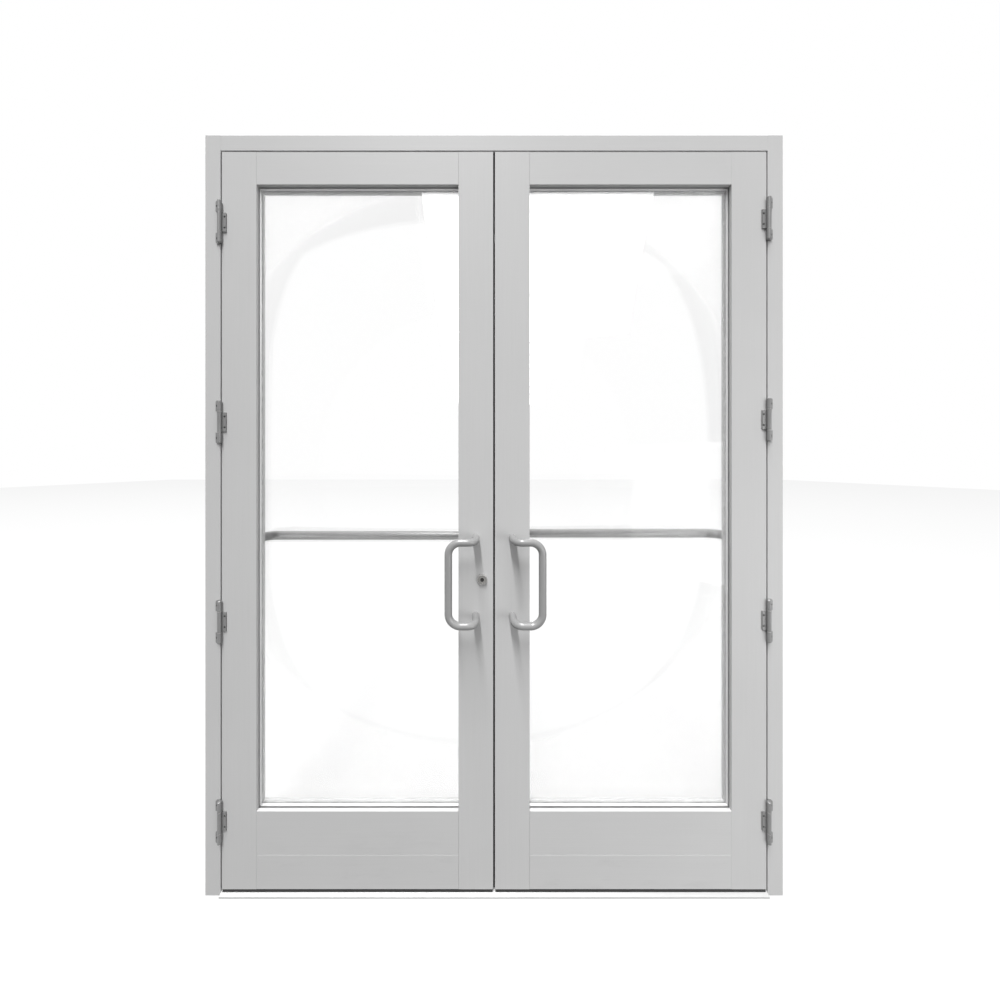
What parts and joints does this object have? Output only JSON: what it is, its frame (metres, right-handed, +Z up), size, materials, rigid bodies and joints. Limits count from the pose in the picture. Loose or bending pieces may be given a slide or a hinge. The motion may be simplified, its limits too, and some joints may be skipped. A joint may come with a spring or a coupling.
{
  "type": "double entrance door with frame",
  "caption": "Glazed double entrance door in a slim rectangular frame with threshold; leaves swing outward on barrel hinges, with bent tube pull handles and push bars.",
  "frame": {"origin": "on the floor under the threshold, at the middle of the opening's width and of the frame's depth", "axes": "+X to the right seen from outside, +Y into the building, +Z up"},
  "size_m": [1.9306, 0.2033, 2.5398],
  "materials": {
    "grey_finish": "satin anodised",
    "hinge_metal": "satin",
    "handle_metal": "satin",
    "lock_metal": "satin",
    "steel": "plain",
    "mill_aluminium": "mill",
    "glass": "clear",
    "seal_rubber": "matt",
    "pile": "matt",
    "nylon": "matt"
  },
  "bodies": {
    "frame": {"left_jamb": "grey_finish", "right_jamb": "grey_finish", "head": "grey_finish", "door_stops": "grey_finish", "stop_seals": "seal_rubber", "threshold": "mill_aluminium", "head_screws": "steel", "frame_hinge_knuckles": "hinge_metal", "hinge_pins": "steel", "hinge_bushes": "nylon", "frame_hinge_screws": "steel", "frame_nut_plates": "steel", "head_bolt_strike": "steel"},
    "left_leaf": {"left_hinge_stile": "grey_finish", "left_lock_stile": "grey_finish", "left_top_rail": "grey_finish", "left_bottom_rail": "grey_finish", "left_corner_blocks": "mill_aluminium", "left_tie_rods": "steel", "left_glass_panes": "glass", "left_glass_spacer": "mill_aluminium", "left_glass_stops": "grey_finish", "left_glazing_seals": "seal_rubber", "left_pull_handle": "handle_metal", "left_pull_bolts": "steel", "left_push_bar": "handle_metal", "left_leaf_knuckles": "hinge_metal", "left_leaf_screws": "steel", "left_nut_plates": "steel", "meeting_seal": "pile", "left_bottom_sweep": "seal_rubber", "lock_case": "steel", "lock_cylinder": "lock_metal", "cylinder_collar": "lock_metal", "thumbturn_housing": "lock_metal"},
    "right_leaf": {"right_hinge_stile": "grey_finish", "right_meeting_stile": "grey_finish", "right_top_rail": "grey_finish", "right_bottom_rail": "grey_finish", "right_corner_blocks": "mill_aluminium", "right_tie_rods": "steel", "right_glass_panes": "glass", "right_glass_spacer": "mill_aluminium", "right_glass_stops": "grey_finish", "right_glazing_seals": "seal_rubber", "right_pull_handle": "handle_metal", "right_pull_bolts": "steel", "right_push_bar": "handle_metal", "right_leaf_knuckles": "hinge_metal", "right_leaf_screws": "steel", "right_nut_plates": "steel", "right_bottom_sweep": "seal_rubber", "lock_strike": "steel", "flush_bolt_plates": "steel"},
    "lock_bolt": {"lock_bolt": "steel"},
    "thumbturn": {"thumbturn": "lock_metal"},
    "key_plug": {"key_plug": "lock_metal"},
    "top_bolt": {"top_bolt": "steel"},
    "bottom_bolt": {"bottom_bolt": "steel"}
  },
  "joints": [
    {"name": "left_leaf_hinge", "type": "hinge", "parent": "frame", "child": "left_leaf", "pos_m": [-0.91225, -0.06365, 0], "axis": [0, 0, -1], "range_deg": [0, 110]},
    {"name": "right_leaf_hinge", "type": "hinge", "parent": "frame", "child": "right_leaf", "pos_m": [0.91225, -0.06365, 0], "axis": [0, 0, 1], "range_deg": [0, 110]},
    {"name": "thumbturn_turn", "type": "hinge", "parent": "left_leaf", "child": "thumbturn", "pos_m": [-0.04, -0.01265, 1.057], "axis": [0, -1, 0], "range_deg": [0, 90]},
    {"name": "lock_bolt_swing", "type": "hinge", "parent": "left_leaf", "child": "lock_bolt", "pos_m": [-0.015, -0.0349, 1.057], "axis": [0, -1, 0], "range_deg": [0, 90]},
    {"name": "key_turn", "type": "hinge", "parent": "left_leaf", "child": "key_plug", "pos_m": [-0.04, -0.05715, 1.057], "axis": [0, 1, 0], "range_deg": [0, 90]},
    {"name": "top_bolt_slide", "type": "slide", "parent": "right_leaf", "child": "top_bolt", "axis": [0, 0, 1], "range_m": [0, 0.018]},
    {"name": "bottom_bolt_slide", "type": "slide", "parent": "right_leaf", "child": "bottom_bolt", "axis": [0, 0, -1], "range_m": [0, 0.018]}
  ],
  "couplings": [
    {"joint": "lock_bolt_swing", "follows": "thumbturn_turn", "ratio": 1}
  ]
}
